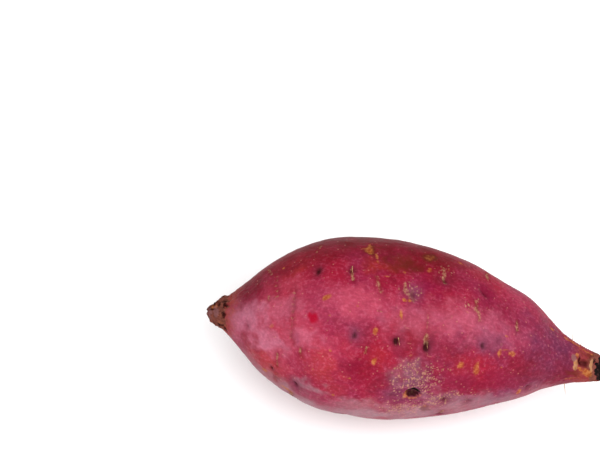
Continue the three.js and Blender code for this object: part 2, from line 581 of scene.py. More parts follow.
@dataclass(frozen=True)
class Wound:
    """A hole bitten into the root: a hollow with painted shadow in it, black under its upper rim, and a dried
    golden rim.
    """

    along: float = 87.4
    turn: float = 19.8
    length: float = 6.2
    width: float = 5.0
    depth: float = 2.3
    rim: float = 0.32

    def lay(self, chart: Chart) -> None:
        """Cuts the hollow, rolls up its rim, and lays painted shadow in the upper half, dark brown in the lower
        half and the dried edge.

        Args:
            chart: The skin.
        """
        off = chart.oval(self.along, self.turn, self.length / 2, self.width / 2, wobble=0.4)
        chart.height -= self.depth * (1 - smoothstep(off, 0.25, 1.15))
        chart.height += self.rim * band(off, 1.3, 0.28)
        _, around = chart.offset(self.along, self.turn)
        # Painted shadow: the upper half of the hollow, under its rim, is laid black as char; the lower half is
        # laid dark brown.
        shadowed_upper = smoothstep(around, -0.25 * self.width, 0.1 * self.width)
        inside = 1 - smoothstep(off, 0.85, 1.15)
        chart.paint(Layer.CHAR, inside * shadowed_upper)
        chart.paint(Layer.PIT, 0.95 * inside * (1 - shadowed_upper))
        chart.paint(Layer.OCHRE, band(off, 1.15, 0.3) * (0.7 - 0.4 * shadowed_upper))


Table = dict[Layer, Rows]


def patches_of(table: Table) -> list[Patch]:
    """Makes the patches of a table that holds the rows of each layer."""
    return [Patch(layer, *row) for layer, rows in table.items() for row in rows]


@dataclass(frozen=True)
class MarkTable:
    """Marks of the common kinds, a row for each, whose numbers stand in the order of the kind's fields."""

    zones: Table = field(default_factory=dict)
    eyes: Rows = ()
    creases: Rows = ()
    scars: Rows = ()
    dotted_scars: Rows = ()
    scurf: Rows = ()
    patches: Table = field(default_factory=dict)

    def marks(self) -> list[Mark]:
        """Makes the marks.

        Returns:
            The marks, in the order in which they are laid.
        """
        made: list[Mark] = [Zone(layer, *row) for layer, rows in self.zones.items() for row in rows]
        for kind, rows in ((Eye, self.eyes), (Crease, self.creases), (Scar, self.scars), (Scurf, self.scurf)):
            made += [kind(*row) for row in rows]
        made += [Scar(*row, dotted=True) for row in self.dotted_scars]
        return made + patches_of(self.patches)


@dataclass(frozen=True)
class WoodyCrown:
    """The dry stub left by the vine: knobbly bark that gives way to skin along a ragged edge."""

    end: float = 8.0
    rust_end: float = 15.0
    knobs: Rows = (
        (3.8, 102, 1.9, 1.7), (2.6, 95, 1.4, 0.8), (6.4, 99, 1.6, 0.7), (1.8, 74, 1.2, 0.4), (1.6, 36, 1.8, 0.4),
        (4.4, 52, 2.4, 0.6), (5.0, 14, 2.6, 0.5), (3.4, -40, 3.0, 0.8), (5.6, -95, 2.8, 1.0),
        (2.4, -150, 2.8, 0.8), (5.8, 160, 3.0, 1.0),
    )
    cracks: Rows = (
        (7.4, 58, 0.8, 1.4), (8.6, 6, 1.2, 1.4), (6.6, 12, 1.8, 0.6), (2.4, 78, 1.6, 0.6), (3.6, 108, 1.5, 1.3),
        (5.3, 99, 0.6, 1.3), (7.6, 96, 1.0, 1.0), (7.6, -60, 0.9, 1.7), (6.5, 185, 0.9, 1.7),
    )
    patches: Table = field(
        default_factory=lambda: {
            Layer.CHAR: (
                (3.4, 106, 3.4, 3.4, 0.75, 1), (0.6, 84, 1, 2.4, 0.6, 0.7), (0.9, 40, 1.4, 2.6, 0.45, 0.8),
            ),
            Layer.MAUVE: ((1.2, 62, 2.6, 3, 1, 0.7), (1.4, 20, 2.2, 3, 0.7, 0.6), (4.4, 66, 3.2, 4.4, 0.75, 1)),
            Layer.OCHRE: (
                (2.7, 92, 1.8, 2, 1, 0.6), (4.4, 86, 1.4, 1.6, 0.8, 0.6), (5.8, 58, 1.8, 2.2, 0.45, 0.8),
                (6.8, 24, 5, 2, 0.45, 0.8, -8),
            ),
        }
    )

    def lay(self, chart: Chart) -> None:
        """Raises the knobs, furrows the bark and lays bark, rust and cracks.

        Args:
            chart: The skin.
        """
        lumps = grain(chart.points, 2.2, 4, 5.1)
        ragged = chart.along + 1.2 * lumps + 0.6 * chart.wobble[0]
        bark = 1 - smoothstep(ragged, self.end - 1.4, self.end + 1.4)
        chart.paint(Layer.BARK, bark)
        chart.paint(Layer.RUST, 1 - smoothstep(ragged, self.end, self.rust_end))
        chart.height += bark * (0.55 * (0.4 - np.abs(lumps)) + 0.2 * grain(chart.points, 1.0, 2, 8.2))
        chart.height -= 0.3 * band(ragged, self.end + 0.2, 0.7)
        for along, turn, spread, height in self.knobs:
            chart.height += height * mound(chart.oval(along, turn, spread, spread, wobble=0.5), 2.2)
        for along, turn, length, width in self.cracks:
            off = chart.oval(along, turn, length, width, wobble=0.5)
            chart.height -= 0.5 * mound(off, 2.0)
            chart.paint(Layer.PIT, 0.8 * np.clip(1.5 - off, 0.0, 1.0))
        for patch in patches_of(self.patches):
            patch.lay(chart)


@dataclass(frozen=True)
class TornTail:
    """The thin root's end: snapped and charred dry, with a strip of skin torn off beside a hollow."""

    bark_start: float = 149.0
    snap: float = 160.8
    underside: float = 5.0
    hollow: tuple[float, float, float, float] = (155.2, 69.0, 2.4, 2.0)
    hollow_depth: float = 1.6
    strips: Table = field(
        default_factory=lambda: {
            Layer.FLESH: ((151.9, 58, 2.6, 4.4, 0.9, 0.8, 14), (159, 66, 2, 5.6, 0.9, 0.8, -8)),
            Layer.OCHRE: (
                (157.4, 41, 5, 3.4, 1, 0.5, -24), (154.4, 49, 3.6, 1.6, 0.8, 0.3, -20),
                (152.4, 84, 2, 2.8, 0.8, 0.4, 10), (150.5, 124, 8, 1.6, 0.8, 0.6, -8),
                (156.5, 117, 8, 1.4, 0.7, 0.6, -8), (151, 14, 9, 1.6, 0.5, 0.7, 6),
            ),
            Layer.MAUVE: ((151, 74, 2, 2.6, 1, 0.4),),
            # Painted shade: dark patches inside the hollow.
            Layer.PIT: ((154.2, 71, 1.6, 4, 0.95, 0.4, 20), (156, 68, 3.2, 3.4, 0.7)),
        }
    )

    def lay(self, chart: Chart) -> None:
        """Grooves the bark, cuts the hollow and darkens it with painted shade, and lays flesh, char and dry edges.

        Args:
            chart: The skin.
        """
        lumps = grain(chart.points * np.array([0.35, 1.0, 1.0]), 1.6, 3, 2.7)
        ragged = chart.along + 0.7 * chart.wobble[0] + 0.5 * lumps
        bark = smoothstep(ragged, self.bark_start, self.bark_start + 6)
        chart.height += bark * (0.3 * (0.5 - np.abs(lumps)) + 0.1 * chart.wobble[1])
        _, around = chart.offset(self.snap, 66.0)
        edge = ragged - self.snap - self.underside * (1 - mound(around / 14.0, 2.0))
        charred = smoothstep(edge, -0.5, 0.5)
        chart.paint(Layer.CHAR, charred)
        chart.height -= 0.5 * charred
        chart.paint(Layer.BARK, 0.8 * smoothstep(edge, -7.0, -1.0) * (1 - charred))
        chart.paint(Layer.RUST, 0.8 * bark)
        along, turn, length, width = self.hollow
        off = chart.oval(along, turn, length, width, wobble=0.35)
        chart.height -= self.hollow_depth * (1 - smoothstep(off, 0.3, 1.1))
        for strip in patches_of(self.strips):
            strip.lay(chart)
            rim = chart.oval(strip.along, strip.turn, strip.length / 2, strip.width / 2, strip.lean, 0.4)
            chart.height += 0.2 * band(rim, 1.15, 0.22)


@dataclass(frozen=True)
class SmallRelief:
    """The skin's own unevenness: slow swells, small dimples and wrinkles that run to both necks."""

    swell: float = 0.32
    dimple: float = 0.09
    fine: float = 0.035
    wrinkle: float = 0.16

    def lay(self, chart: Chart) -> None:
        """Adds the unevenness to the skin's height.

        Args:
            chart: The skin.
        """
        chart.height += self.swell * grain(chart.points, 26.0, 2, 3.3)
        chart.height += self.dimple * grain(chart.points, 7.0, 3, 9.4)
        stretched = chart.points * np.array([0.3, 1.0, 1.0])
        chart.height += self.fine * grain(stretched, 1.5, 2, 1.7)
        necks = mound((chart.along - 10) / 16, 2.0) + mound((chart.along - 148) / 17, 2.0)
        lines = grain(chart.points * np.array([0.16, 1.0, 1.0]), 2.2, 2, 6.6)
        chart.height += self.wrinkle * necks * (0.4 - np.abs(lines))
        lumps = grain(chart.points, 0.9, 1, 4.4)
        chart.height += 0.14 * chart.layers[Layer.SCURF] * np.clip(lumps, -0.3, 1.0)


FRONT_SIDE = MarkTable(
    zones={
        # Pale bloom, partly painted sheen: these zones stand where broad highlights lie across the upper front.
        Layer.BLOOM: (
            (17, 60, 11, 10), (26, 42, 10, 7, 0.8), (43, 52, 8, 6, 0.4), (32, 72, 9, 6, 0.4),
            (84, 72, 16, 8, 0.32), (109, 76, 22, 8, 0.36), (58, 78, 18, 9, 0.12),
        ),
        Layer.ROSE: (
            (30, 80, 13, 12, 0.95), (38, 56, 15, 14, 0.95), (30, 30, 13, 11, 0.9), (60, 80, 17, 8, 0.85),
            (50, 44, 12, 10, 0.7), (101, 80, 16, 7, 0.6), (128, 117, 14, 7, 0.35),
        ),
        Layer.WARM: (
            (51, 34, 9, 8, 0.6), (57, 20, 8, 7, 0.4), (34, 103, 7, 5, 0.6), (28, 14, 8, 7, 0.65),
            (71, 46, 5, 6, 0.35), (104, 46, 9, 5, 0.3), (69, 109, 9, 5, 0.95),
        ),
        # Olive: the zone at along 77, turn 112, is painted shade on the root's top; the two near the tail are
        # dried skin.
        Layer.OLIVE: ((77, 112, 10, 7, 0.8), (151.5, 36, 5.5, 4, 0.75), (156, 92, 5.5, 4, 0.75)),
        # Deeper red. The zones turned 104 to 136 are painted shade darkening the root's top; the rest are the
        # skin's own darker red.
        Layer.DEEP_AND_SHADE: (
            (55, 136, 52, 19), (88, 126, 18, 15), (16, 124, 9, 16, 0.9), (96, 109, 9, 8, 0.8),
            (44, 115, 14, 8, 0.7), (72, 104, 10, 6, 0.5), (66, 37, 8, 7, 0.5), (113, 29, 19, 6, 0.5),
            (130, 38, 14, 9, 0.6), (100, 40, 14, 10, 0.3), (94, 84, 9, 6, 0.35), (114, 92, 14, 8, 0.3),
            (75, 27, 7, 6, 0.4), (99, 54, 9, 7, 0.4), (84, 58, 9, 8, 0.5), (64, 58, 8, 6, 0.3),
            (20, 25, 6, 4, 0.45), (22, 100, 7, 8, 0.3), (148, 25, 10, 10, 0.6),
        ),
        Layer.VIVID: (
            (66, 34, 9, 7, 0.35), (114, 28, 17, 5, 0.5), (87, 98, 6, 6, 0.9), (113, 106, 7, 6, 0.75),
            (24, 94, 9, 7, 0.35),
        ),
        Layer.PLUM: (
            (142, 60, 17, 17, 0.95), (142, 95, 16, 11, 0.85), (136, 20, 14, 10, 0.8), (117, 62, 9, 7, 0.7),
            (87, 28, 13, 15, 0.95), (78, 17, 8, 6, 0.8), (152, 4, 10, 14, 0.7), (102, 60, 9, 6, 0.4),
            (106, 12, 14, 6, 0.8), (122, 6, 16, 9, 0.8), (98, 0, 10, 7, 0.5),
        ),
        # Dust, partly painted reflection of the white floor along the lower edge.
        Layer.DUST_AND_REFLECTION: (
            (40, -14, 26, 12), (68, -8, 22, 9), (66, 5, 12, 5, 0.6), (92, -6, 18, 10, 0.9),
            (108, 2, 16, 8, 0.75), (47, 14, 7, 4, 0.7), (99, 11, 10, 6, 0.6), (84, 36, 9, 8, 0.35),
            (128, -6, 20, 7, 0.5), (33, 1, 14, 5, 0.5),
        ),
    },
    eyes=(
        (44.6, 101, 4.6, 0.7, 0.75, 0.2), (57.4, 101, 3.6, 0.6, 0.6, 0.2), (82.8, 90.5, 5.2, 0.8, 0.55, 0.9),
        (94.6, 105, 4, 0.7, 0.6, 0.2), (111.5, 106.5, 5.6, 0.9, 0.5, 0.1), (112.4, 61.5, 4.2, 0.8, 0.75, 0.85),
        (118.5, 67, 3.4, 0.5, 0.35, 0.6), (90.6, 56, 5.6, 1, 0.95, 0.4), (78.8, 58, 4.4, 0.8, 1, 0.3),
        (61.8, 59.5, 4, 0.7, 0.8, 0.75), (40.4, 10, 5, 0.9, 0.6, 0.6), (79, 16.5, 4.8, 0.8, 0.45, 0.6),
        (100.2, 11, 4.6, 0.8, 0.6), (109.5, 7, 4.2, 0.6, 0.35, 0.4), (133.8, 12, 3.2, 0.6, 0.6, 0.4),
        (30.4, 13, 2.2, 0.5, 0.8, 0.1), (18.1, 48.5, 2.4, 0.4, 0.12, 0.2), (95, 50, 3, 0.3, 0.2, 0.2),
    ),
    creases=((37.2, 44, 58, 1.8, 0.6),),
    scars=(
        (58, 94, 102, -1.2, 0.5, 1, 0.1), (69.1, 87.5, 98, -2.6, 1.2, 0.7), (79.4, 89, 96, -0.3, 0.9, 0.75),
        (81.2, 86, 91, -0.3, 0.8, 0.75, 0.2), (82.8, 85, 92, -0.3, 0.9, 0.6, 0.5),
        (94.2, 103, 115, -0.5, 0.9, 0.75, 0.3), (112.2, 123, 134, 0.3, 0.7, 0.9),
        (108.4, 86, 94, -0.4, 1, 0.8, 0.2), (109.6, 79, 87, -0.8, 0.8, 0.75),
        (125.9, 80, 91, -0.3, 0.55, 0.9, 0.1), (125.6, 75, 80, 0, 0.6, 0.3, 0.5),
        (89.7, 62, 79, -0.2, 0.5, 0.6, 0.1), (89.9, 57.5, 63, -0.6, 1, 1, 0.3), (66.8, 48.5, 52.5, 0.2, 0.5, 0.9),
        (36.8, 50, 60, 0.2, 0.7, 0.5, 0.35), (41.6, 40, 45.5, -0.4, 0.7, 0.8),
        (32.3, 20, 33, 0.2, 0.6, 0.75, 0.2), (24.2, 112, 124, -1.8, 0.8, 0.7, 0.3), (26.1, 79, 84, 0, 0.7, 0.7),
        (43, 119, 127, 1.2, 0.7, 0.7),
    ),
    dotted_scars=(
        (91.3, 49, 54, 0.4, 0.5, 0.7), (36.5, 62, 86, -0.8, 0.9, 0.75, 0.2), (32.1, 0, 11, 0.2, 0.6, 0.7),
        (28.4, 83, 106, -2, 0.9, 0.75, 0.2), (144.6, 16, 28, 0.3, 0.6, 0.5, 0.3),
    ),
    scurf=(
        (89, 27, 20, 18, 0.95), (84, 37, 14, 10, 0.8), (93, 37, 12, 10, 0.6), (85, 4, 20, 14, 0.8),
        (97, 14, 16, 9, 0.85), (106, 17, 12, 6, 0.8), (82, 92, 7, 8, 0.5), (94, 112, 6, 7, 0.5),
        (108, 90, 5, 6, 0.5),
    ),
    patches={
        Layer.OCHRE: (
            (49, 80.5, 4.2, 2.4, 1, 0.4, 28), (69.6, 62, 2.2, 3.4, 0.85), (70.5, 44, 2.2, 3.6, 0.85),
            (104.6, 45, 3.6, 3.4, 0.8, 0.4), (111.2, 42, 3, 6.4, 0.75), (130.3, 7.5, 2.6, 4, 0.85),
            (88, 121.5, 3.6, 5.4, 0.5, 0.7, -20), (88.6, 110, 3.2, 3, 0.7, 0.6),
            (63.8, 120.8, 4.6, 4.6, 0.75, 1.6, -30), (61.2, 121.8, 3.2, 1.2, 0.7),
            (66.8, 116.2, 1.5, 4, 0.7, 0.6, 12), (63.4, 126, 1.4, 4, 0.7, 0.6), (67.4, 111.5, 1.2, 3.4, 0.6),
            (79.4, 84.6, 1.8, 1.6, 1, 0.2), (81.6, 84.6, 2, 1.5, 1, 0.2), (79.3, 74, 1.5, 4.4, 0.9, 0.4, 15),
            (53.2, 47.4, 1.5, 1.5, 0.8, 0.2), (51.3, 69, 1, 1, 0.8, 0.2), (61.7, 30.5, 2, 1.2, 0.75, 0.2),
            (47.1, 32, 1.2, 1.2, 0.7, 0.2), (55.8, 14, 1.7, 1.9, 0.8, 0.3), (61.8, 76.5, 2, 1.4, 0.65, 0.4),
            (78.7, 105, 1.4, 1.6, 0.75, 0.3), (72, 99.6, 3.2, 0.9, 0.7, 0.4), (30, 113.4, 1.6, 1.4, 0.75, 0.3),
            (100.6, 128, 2.4, 2.4, 0.75, 0.6), (95.8, 114.6, 1.2, 1.4, 0.7, 0.3), (140.9, 114, 2.4, 1.6, 0.8),
            (27.3, 3, 3.8, 2.8, 0.75, 0.6), (37.4, -3, 8.4, 2.8, 0.75, 0.8), (28.7, 57, 2.6, 2.4, 0.55, 0.6),
            (104.6, 83, 2.6, 1.6, 0.5, 0.6), (122, 71.8, 2.2, 1.2, 0.65, 0.4), (121.1, 43.5, 1.2, 1.4, 0.65, 0.3),
            (119.9, 56.5, 2.2, 4.2, 0.75, 0.6), (124.4, 56.8, 2.8, 3.6, 0.75, 0.6),
            (122.2, 59.6, 4, 1.2, 0.6, 0.4), (92.6, 5, 2.4, 6, 0.5, 1.6), (85.6, 3, 4, 4, 0.35, 1.8),
            (84.4, 18, 2.4, 5.4, 0.7, 0.9, -30), (84.8, 50, 1.8, 3, 0.5, 0.6),
            (149.5, 124, 8, 2.4, 0.75, 0.8, -4),
        ),
        Layer.SCAR: (
            (70.6, 74.6, 4.6, 0.8, 0.7, 0.2), (50.9, 66, 0.9, 2.4, 0.7, 0.2), (98.6, 76, 3.4, 0.7, 0.5, 0.2),
            (67.6, 70.5, 4, 0.7, 0.45, 0.3),
        ),
        Layer.OLIVE: (
            # The first two olive patches, at turns 120 and 121.5, are ochre darkened with painted shade along the
            # top; the others are dried skin.
            (88, 121.5, 5, 7, 1, 0.9, -20), (64.4, 120, 6.4, 6, 1, 1.8, -30), (106, 57, 7, 6, 0.35, 1.6),
            (93, 2, 3.6, 9, 0.7, 1.6),
        ),
        Layer.BRUISE: ((45.4, 66.2, 3.8, 4), (43.4, 68.4, 2.4, 2.6, 0.9)),
        Layer.PIT: (
            (140.6, 67.4, 1.2, 1.4, 0.5, 0.2), (132.5, 59, 1.4, 1.6, 0.35, 0.4), (138.6, 20, 1.6, 2.4, 0.35),
        ),
    },
)


HIDDEN_SIDE = MarkTable(
    zones={
        Layer.BLOOM: ((60, 205, 26, 14, 0.6), (112, 250, 22, 12, 0.6), (42, 280, 20, 12, 0.5)),
        Layer.WARM: ((92, 190, 20, 12, 0.7), (50, 245, 16, 12, 0.6), (88, 300, 20, 12, 0.6)),
        Layer.DEEP_AND_SHADE: ((110, 180, 22, 10, 0.6), (72, 262, 26, 12, 0.6), (30, 200, 12, 14, 0.5)),
    },
    creases=((54, 186, 214, 2.2, 0.6), (101, 254, 280, 2)),
    scurf=((64, 222, 16, 12, 0.7), (104, 292, 18, 10, 0.7)),
    patches={
        Layer.OCHRE: (
            (74, 172, 9, 5, 0.85, 1.6), (98, 236, 6, 4, 1, 1), (46, 318, 7, 3, 1, 1),
            (120, 206, 5, 2.4, 0.9, 0.8),
        ),
        Layer.OLIVE: ((58, 276, 12, 8, 0.7, 2.4),),
    },
)


@dataclass(frozen=True)
class ScatteredMarks:
    """More marks for the back and the underside: rows of eyes with scars beside them, and loose marks."""

    seed: int = 41
    rows: tuple[float, ...] = (158.0, 196.0, 232.0, 268.0, 308.0, 340.0)
    spacing: float = 21.0
    start: float = 20.0
    end: float = 142.0
    low_turn: float = 145.0
    high_turn: float = 345.0
    scar_chance: float = 0.55
    dotted_chance: float = 0.4
    loose_patches: int = 16
    loose_scars: int = 14

    def marks(self) -> list[Mark]:
        """Scatters the marks. They are the same in every run.

        Returns:
            The marks, in the order in which they are laid.
        """
        rng = random.Random(self.seed)
        marks: list[Mark] = []
        for row in self.rows:
            along = self.start + rng.uniform(0, self.spacing)
            while along < self.end:
                turn, size = row + rng.uniform(-8, 8), rng.uniform(3.4, 5.6)
                depth, dark, halo = rng.uniform(0.5, 0.9), rng.uniform(0.3, 0.95), rng.uniform(0.2, 0.8)
                marks.append(Eye(along, turn, size, depth, dark, halo))
                if rng.random() < self.scar_chance:
                    low = turn + 2
                    high = low + rng.uniform(4, 13)
                    marks.append(Scar(along + rng.uniform(-1, 1), low, high, rng.uniform(-1.5, 1.5)))
                along += self.spacing * rng.uniform(0.7, 1.3)
        for _ in range(self.loose_patches):
            along, turn = rng.uniform(self.start, self.end), rng.uniform(self.low_turn, self.high_turn)
            length, width = rng.uniform(1.4, 3.6), rng.uniform(1.2, 2.8)
            marks.append(Patch(Layer.OCHRE, along, turn, length, width, rng.uniform(0.7, 1)))
        for _ in range(self.loose_scars):
            along, turn = rng.uniform(self.start, self.end), rng.uniform(self.low_turn, self.high_turn)
            dotted = rng.random() < self.dotted_chance
            high = turn + rng.uniform(4, 14)
            marks.append(Scar(along, turn, high, rng.uniform(-1, 1), 0.7, 0.8, 0.1, dotted))
        return marks


class Recipe:
    """One material's nodes, added and joined up as they are asked for."""

    def __init__(self, name: str) -> None:
        """Starts an empty material.

        Args:
            name: The material's name.
        """
        self.material = bpy.data.materials.new(name)
        self.material.use_nodes = True
        self.tree = self.material.node_tree
        self.shader = self.tree.nodes["Principled BSDF"]

    def node(self, kind: str, inputs: dict[str, object] | None = None, **settings: object) -> bpy.types.Node:
        """Adds a node.

        Args:
            kind: The node's Blender type.
            inputs: What each input holds, by its identifier: a socket to join, or a value.
            **settings: The node's own settings.

        Returns:
            The node.
        """
        node = self.tree.nodes.new(kind)
        for key, value in settings.items():
            setattr(node, key, value)
        for key, value in (inputs or {}).items():
            self.put(next(s for s in node.inputs if s.identifier == key), value)
        return node

    def put(self, socket: Socket, value: object) -> None:
        """Joins a socket to another one, or sets its value.

        Args:
            socket: The input.
            value: A socket to join it to, or its value.
        """
        if isinstance(value, Socket):
            self.tree.links.new(value, socket)
        else:
            socket.default_value = value

    def place(self, stretch: tuple[float, float, float] = (1, 1, 1)) -> Socket:
        """Places on the object in millimetres, drawn out along an axis where its stretch is under 1."""
        inputs = {"Vector": self.node("ShaderNodeTexCoord").outputs["Object"], "Scale": [s / MM for s in stretch]}
        return self.node("ShaderNodeMapping", inputs).outputs["Vector"]

    def lumps(
        self, place: Socket, size: float, detail: float = 3.0, roughness: float = 0.55, warp: float = 0.0
    ) -> Socket:
        """A soft random pattern from 0 to 1, with lumps of a size in millimetres."""
        inputs = {"Vector": place, "Scale": 1 / size, "Detail": detail, "Roughness": roughness, "Distortion": warp}
        return self.node("ShaderNodeTexNoise", inputs).outputs[0]

    def cells(self, place: Socket, size: float) -> bpy.types.Node:
        """A pattern of cells of a size in millimetres."""
        return self.node("ShaderNodeTexVoronoi", {"Vector": place, "Scale": 1 / size})

    def channel(self, colour_socket: Socket, number: int) -> Socket:
        """One of a colour's three channels."""
        return self.node("ShaderNodeSeparateColor", {"Color": colour_socket}).outputs[number]

    def layer(self, layer: Layer) -> Socket:
        """How strongly a layer's marks show at each place."""
        return self.node("ShaderNodeAttribute", attribute_name=layer.value).outputs["Fac"]

    def sum(self, operation: str, a: object, b: object = 0.0, c: object = 0.0) -> Socket:
        """Works out a sum of two values, or of three for an operation that takes them."""
        inputs = {"Value": a, "Value_001": b, "Value_002": c}
        return self.node("ShaderNodeMath", inputs, operation=operation).outputs[0]

    def step(self, value: object, low: float, high: float, out: tuple[float, float] = (0, 1)) -> Socket:
        """Eases a value from one end of out to the other as it goes from low to high."""
        inputs = {"Value": value, "From Min": low, "From Max": high, "To Min": out[0], "To Max": out[1]}
        return self.node("ShaderNodeMapRange", inputs, interpolation_type="SMOOTHSTEP").outputs[0]

    def mix(self, share: object, under: object, over: object, blend: str = "MIX") -> Socket:
        """Lays one colour over another, as strongly as share says."""
        inputs = {"Factor_Float": share, "A_Color": under, "B_Color": over}
        return self.node("ShaderNodeMix", inputs, data_type="RGBA", blend_type=blend, clamp_factor=True).outputs[2]

    def ragged(self, layer: Layer, lumps: object, wild: float, low: float, high: float) -> Socket:
        """A layer cut off along a clear, uneven edge.

        Args:
            layer: The layer.
            lumps: The pattern that makes its edge uneven, 0 to 1.
            wild: How uneven the edge is.
            low: Where the edge starts.
            high: Where the edge ends.

        Returns:
            0 outside the marks and 1 inside them.
        """
        uneven = self.sum("MULTIPLY_ADD", lumps, wild, -wild / 2)
        return self.step(self.sum("ADD", self.layer(layer), uneven), low, high)

    def relief(self, height: object, strength: float, distance: float, under: object = None) -> Socket:
        """Turns a pattern into relief, over other relief if some is given.

        Args:
            height: The pattern.
            strength: How much of it shows.
            distance: Its height in millimetres.
            under: The relief that it lies on.

        Returns:
            The bent normal.
        """
        inputs = {"Height": height, "Strength": strength, "Distance": distance * MM}
        if under is not None:
            inputs["Normal"] = under
        return self.node("ShaderNodeBump", inputs).outputs[0]


class SkinRecipe(Recipe):
    """The skin's nodes, with the random patterns that its tones, marks and relief share."""

    def __init__(self, name: str) -> None:
        """Starts the material and adds the patterns.

        Args:
            name: The material's name.
        """
        super().__init__(name)
        self.spot = self.place()
        self.mottle = self.lumps(self.spot, 5.5, 4, 0.6)
        self.fine = self.lumps(self.spot, 1.3, 3, 0.6)
        self.streaks = self.lumps(self.place((0.35, 1, 1)), 0.9, 3, 0.6)


@dataclass(frozen=True)
class SkinFinish:
    """Raw root skin: crimson and magenta, satin, with a pale bloom that is partly painted sheen, a pale underside
    that is partly painted reflection, painted shade on its top and in its hollows, corky marks and woody ends.
    """

    crimson: Colour = colour(136, 18, 42)
    magenta: Colour = colour(130, 28, 58)
    wine: Colour = colour(104, 6, 30)
    rose: Colour = colour(166, 56, 76)
    warm: Colour = colour(150, 40, 32)
    # Pale bloom, partly painted sheen.
    bloom_and_sheen: Colour = colour(176, 102, 124)
    # Deeper red, also used as painted shade.
    deep_and_shade: Colour = colour(94, 0, 12)
    vivid: Colour = colour(116, 4, 44)
    plum: Colour = colour(92, 36, 64)
    # Pale dust, partly painted reflection of the white floor.
    dust_and_reflection: Colour = colour(144, 108, 116)
    halo: Colour = colour(118, 58, 84)
    scar: Colour = colour(110, 62, 42)
    scar_pale: Colour = colour(154, 112, 84)
    pit: Colour = colour(38, 2, 0)
    ochre: Colour = colour(166, 102, 54)
    ochre_brown: Colour = colour(140, 66, 26)
    olive: Colour = colour(84, 24, 6)
    scurf: Colour = colour(178, 126, 106)
    bruise: Colour = colour(148, 0, 34)
    bark: Colour = colour(114, 62, 52)
    bark_dark: Colour = colour(48, 18, 16)
    mauve: Colour = colour(120, 76, 76)
    rust: Colour = colour(136, 58, 42)
    flesh: Colour = colour(158, 112, 80)
    char: Colour = colour(18, 10, 9)
    speck: Colour = colour(180, 104, 96)
    gloss: tuple[float, float] = (0.46, 0.56)
    specular: float = 0.06

    def material(self) -> bpy.types.Material:
        """Builds the finish.

        Returns:
            The skin's material.
        """
        r = SkinRecipe("sweet_potato_skin")
        base, specks = self._specks(r, self._grain(r, self._tones(r)))
        base, flecks = self._scurf(r, base)
        base = self._wear(r, self._ends(r, base))
        r.put(r.shader.inputs["Base Color"], base)
        r.put(r.shader.inputs["Specular IOR Level"], self.specular)
        self._gloss(r)
        self._relief(r, r.sum("MAXIMUM", specks, flecks))
        return r.material

    def _tones(self, r: SkinRecipe) -> Socket:
        """Lays the skin's own reds, then the broad areas of other tones, among them painted sheen, painted
        reflection and painted shade.

        Args:
            r: The skin's nodes.

        Returns:
            The colour so far.
        """
        base = r.mix(r.step(r.lumps(r.spot, 22, 3, 0.5), 0.36, 0.64), self.crimson, self.magenta)
        base = r.mix(r.step(r.mottle, 0.5, 0.78, (0, 0.5)), base, self.wine)
        tones = (
            (Layer.ROSE, self.rose, r.mottle, 0.95),
            (Layer.PLUM, self.plum, r.mottle, 0.95),
            (Layer.WARM, self.warm, r.mottle, 0.9),
            # Pale bloom, partly painted sheen.
            (Layer.BLOOM, self.bloom_and_sheen, r.mottle, 0.95),
            # Dust, partly painted reflection of the white floor.
            (Layer.DUST_AND_REFLECTION, self.dust_and_reflection, r.mottle, 0.95),
            # Deeper red, partly painted shade.
            (Layer.DEEP_AND_SHADE, self.deep_and_shade, r.mottle, 1.0),
            (Layer.VIVID, self.vivid, r.mottle, 0.95),
            (Layer.HALO, self.halo, r.fine, 0.95),
        )
        for layer, tone, pattern, most in tones:
            if layer is Layer.DEEP_AND_SHADE:
                base = r.mix(r.step(r.fine, 0.48, 0.7, (0, 0.17)), base, self.bloom_and_sheen)
            share = r.sum("MULTIPLY", r.layer(layer), r.step(pattern, 0.3, 0.7, (0.7 * most, most)))
            base = r.mix(share, base, tone)
        return base

    @staticmethod
    def _grain(r: SkinRecipe, base: Socket) -> Socket:
        """Lightens and darkens the tones in fine streaks along the root.

        Args:
            r: The skin's nodes.
            base: The colour so far.

        Returns:
            The colour with its grain.
        """
        shade = r.sum("MULTIPLY", r.step(r.streaks, 0.3, 0.72, (0.9, 1.08)), r.step(r.fine, 0.3, 0.7, (0.92, 1.1)))
        grey = r.node("ShaderNodeCombineColor", {"Red": shade, "Green": shade, "Blue": shade}).outputs[0]
        return r.mix(1.0, base, grey, "MULTIPLY")

    def _specks(self, r: SkinRecipe, base: Socket) -> tuple[Socket, Socket]:
        """Scatters the pale breathing pores, round ones and a few drawn out along the root.

        Args:
            r: The skin's nodes.
            base: The colour so far.

        Returns:
            The colour with the pores, and where the pores are.
        """
        dots = r.cells(r.spot, 2.8)
        chosen = r.step(r.channel(dots.outputs["Color"], 0), 0.45, 0.5)
        round_ones = r.sum("MULTIPLY", r.step(dots.outputs["Distance"], 0.17, 0.06), chosen)
        dashes = r.cells(r.place((0.25, 1, 1)), 2.6)
        picked = r.step(r.channel(dashes.outputs["Color"], 1), 0.76, 0.8)
        long_ones = r.sum("MULTIPLY", r.step(dashes.outputs["Distance"], 0.15, 0.05), picked)
        specks = r.sum("MAXIMUM", round_ones, r.sum("MULTIPLY", long_ones, 0.6))
        return r.mix(r.sum("MULTIPLY", specks, 0.5), base, self.speck), specks

